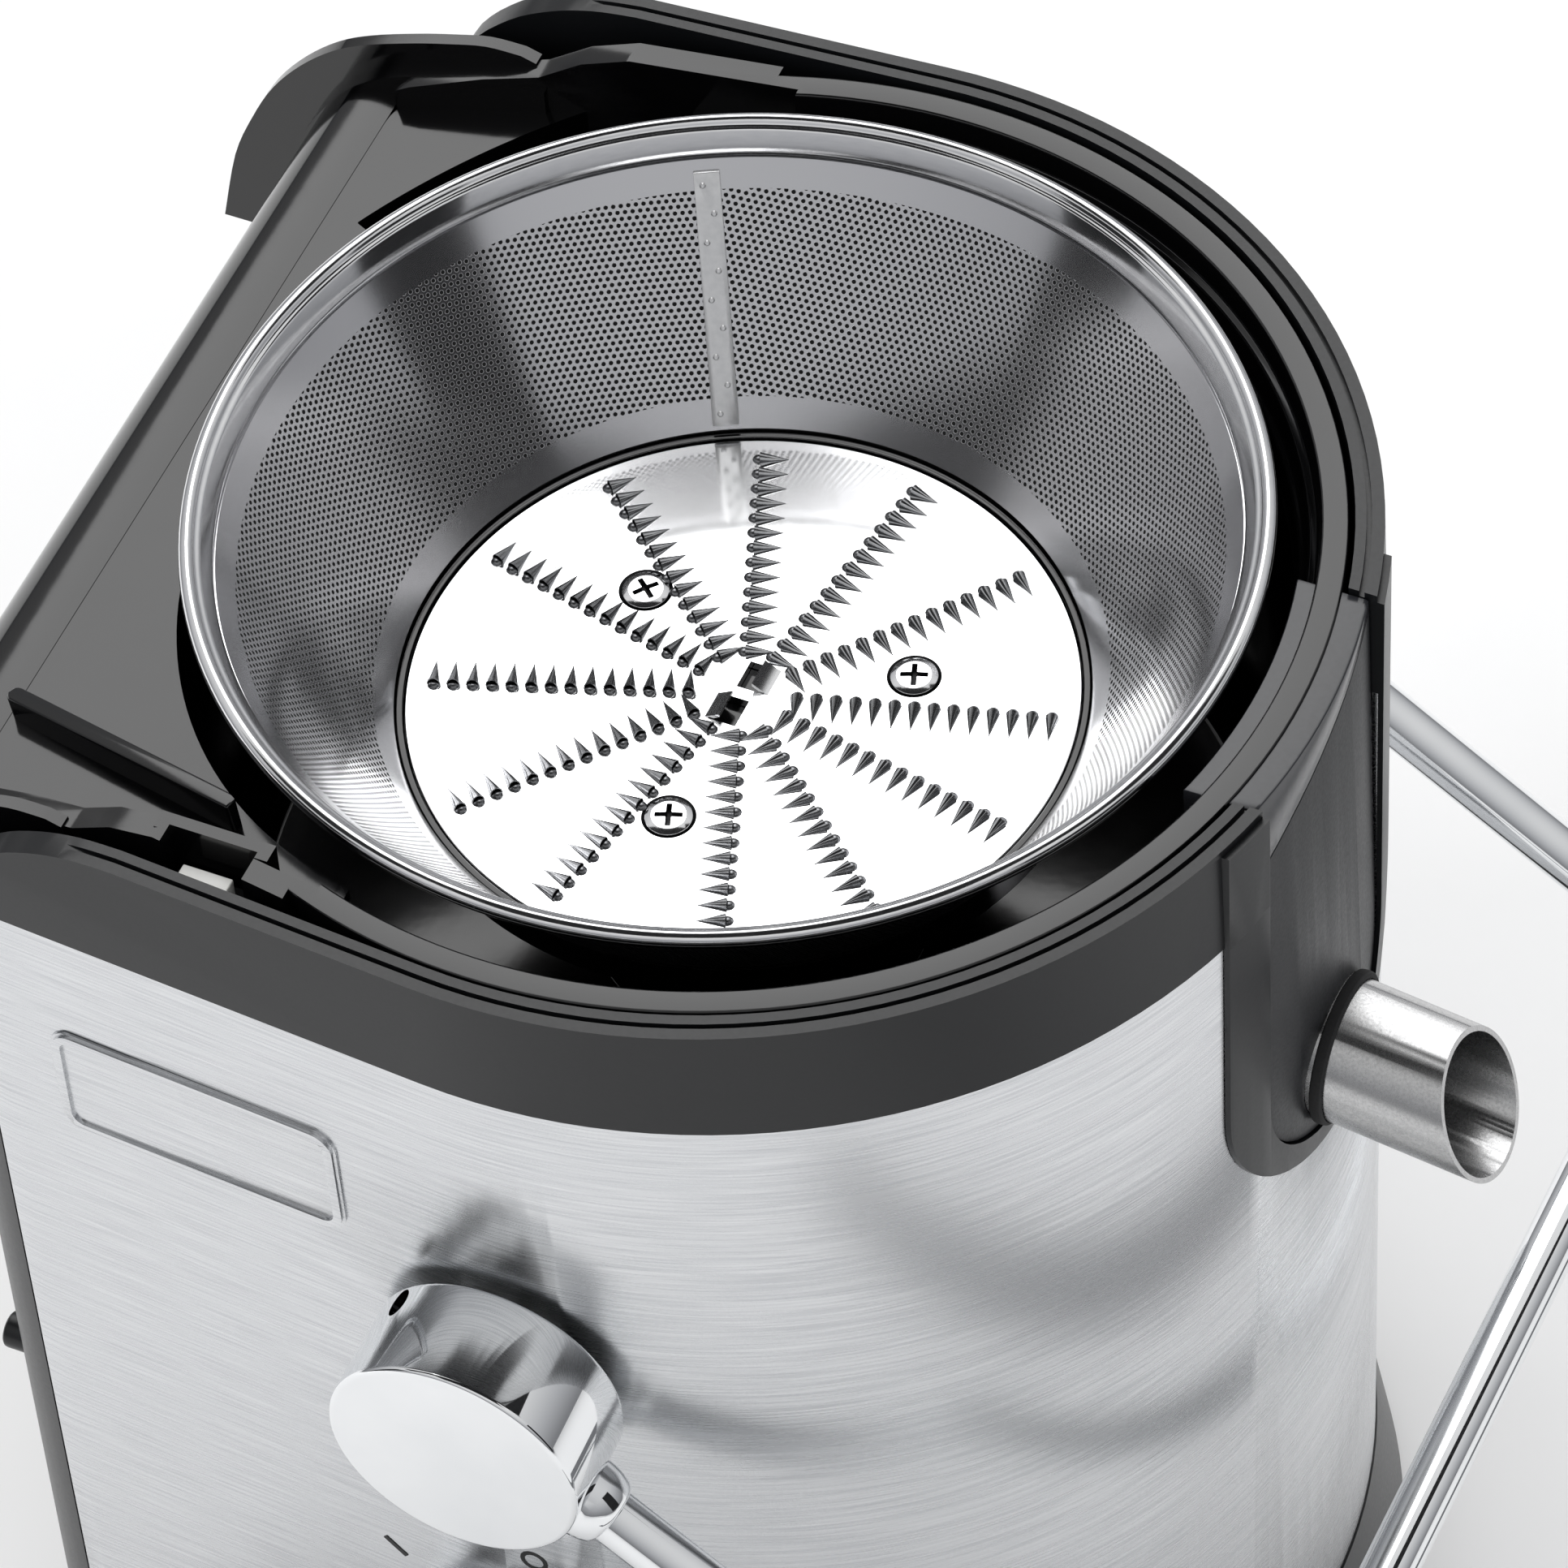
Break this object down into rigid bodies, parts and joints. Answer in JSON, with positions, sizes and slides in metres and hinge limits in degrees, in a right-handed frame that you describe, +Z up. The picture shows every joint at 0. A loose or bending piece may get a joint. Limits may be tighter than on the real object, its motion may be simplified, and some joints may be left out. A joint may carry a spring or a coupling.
{
  "type": "centrifugal juicer",
  "caption": "Centrifugal juicer base with filter basket, cutting disc, juice collector with side spout and pulp deck, locking bail, rotary switch and motor.",
  "frame": {"origin": "centre of the bounding box on the table plane, under the feet", "axes": "+Z up along the spindle, +X towards the juice spout, -Y towards the front with the switch knob; the pulp chute is at -X"},
  "size_m": [0.2488, 0.225, 0.25],
  "materials": {
    "gloss_black_plastic": "glossy",
    "satin_black_plastic": "satin",
    "brushed_steel": "fine brushed grain",
    "polished_steel": "polished",
    "chrome": "mirror",
    "black_rubber": "matte",
    "white_plastic": "semi-gloss",
    "zinc_steel": "plated",
    "copper_wire": "enamelled wire",
    "iron_laminations": "laminated",
    "carbon": "pressed carbon",
    "brass": "pressed sheet"
  },
  "bodies": {
    "base": {"base_skirt": "satin_black_plastic", "base_tray": "satin_black_plastic", "foot_1": "black_rubber", "foot_2": "black_rubber", "foot_3": "black_rubber", "foot_4": "black_rubber", "base_screw_1": "zinc_steel", "base_screw_2": "zinc_steel", "base_screw_3": "zinc_steel", "base_screw_4": "zinc_steel", "body_wrap": "brushed_steel", "side_panel": "satin_black_plastic", "top_collar": "satin_black_plastic", "inner_housing": "satin_black_plastic", "blank_badge": "brushed_steel", "cord_gland": "black_rubber", "stator_core": "iron_laminations", "field_coil_left": "copper_wire", "field_coil_right": "copper_wire", "motor_bracket_top": "zinc_steel", "motor_bracket_bottom": "zinc_steel", "bearing_top": "polished_steel", "bearing_bottom": "polished_steel", "brush_holder_front": "brass", "brush_holder_back": "brass", "carbon_brush_front": "carbon", "carbon_brush_back": "carbon", "shaft_seal": "black_rubber", "switch_body": "satin_black_plastic", "interlock_switch": "satin_black_plastic", "pivot_bush_front": "white_plastic", "pivot_bush_back": "white_plastic"},
    "spindle": {"motor_shaft": "polished_steel", "drive_coupling": "satin_black_plastic", "armature_core": "iron_laminations", "armature_winding_top": "copper_wire", "armature_winding_bottom": "copper_wire", "commutator": "copper_wire", "cooling_fan": "satin_black_plastic"},
    "basket": {"basket_rim": "polished_steel", "basket_filter": "brushed_steel", "basket_seam_strip": "polished_steel", "basket_hub": "gloss_black_plastic", "cutting_disc": "polished_steel", "disc_screw_1": "polished_steel", "disc_screw_2": "polished_steel", "disc_screw_3": "polished_steel"},
    "collector": {"juice_collector": "gloss_black_plastic", "spout_tube": "brushed_steel", "spout_ring": "black_rubber"},
    "bail": {"bail_rod": "chrome", "bail_boss_front": "chrome", "bail_boss_back": "chrome"},
    "knob": {"switch_knob": "chrome", "switch_spindle": "white_plastic"},
    "plunger": {"interlock_plunger": "white_plastic"}
  },
  "joints": [
    {"name": "spindle_spin", "type": "hinge", "parent": "base", "child": "spindle", "pos_m": [0.00305, 0, 0.1], "axis": [0, 0, 1], "continuous": true},
    {"name": "basket_lift", "type": "slide", "parent": "spindle", "child": "basket", "axis": [0, 0, 1], "range_m": [0, 0.24]},
    {"name": "collector_lift", "type": "slide", "parent": "base", "child": "collector", "axis": [0, 0, 1], "range_m": [0, 0.11]},
    {"name": "bail_swing", "type": "hinge", "parent": "base", "child": "bail", "pos_m": [0.00405, 0, 0.16], "axis": [0, 1, 0], "range_deg": [-128, 0]},
    {"name": "knob_turn", "type": "hinge", "parent": "base", "child": "knob", "pos_m": [0.00405, -0.1, 0.076], "axis": [0, -1, 0], "range_deg": [0, 96]},
    {"name": "plunger_press", "type": "slide", "parent": "base", "child": "plunger", "axis": [0, 0, -1], "range_m": [0, 0.0035], "stiffness_N_per_m": 200, "springref_m": -0.001}
  ],
  "couplings": [
    {"joint": "collector_lift", "follows": "basket_lift", "ratio": 0.45833}
  ]
}
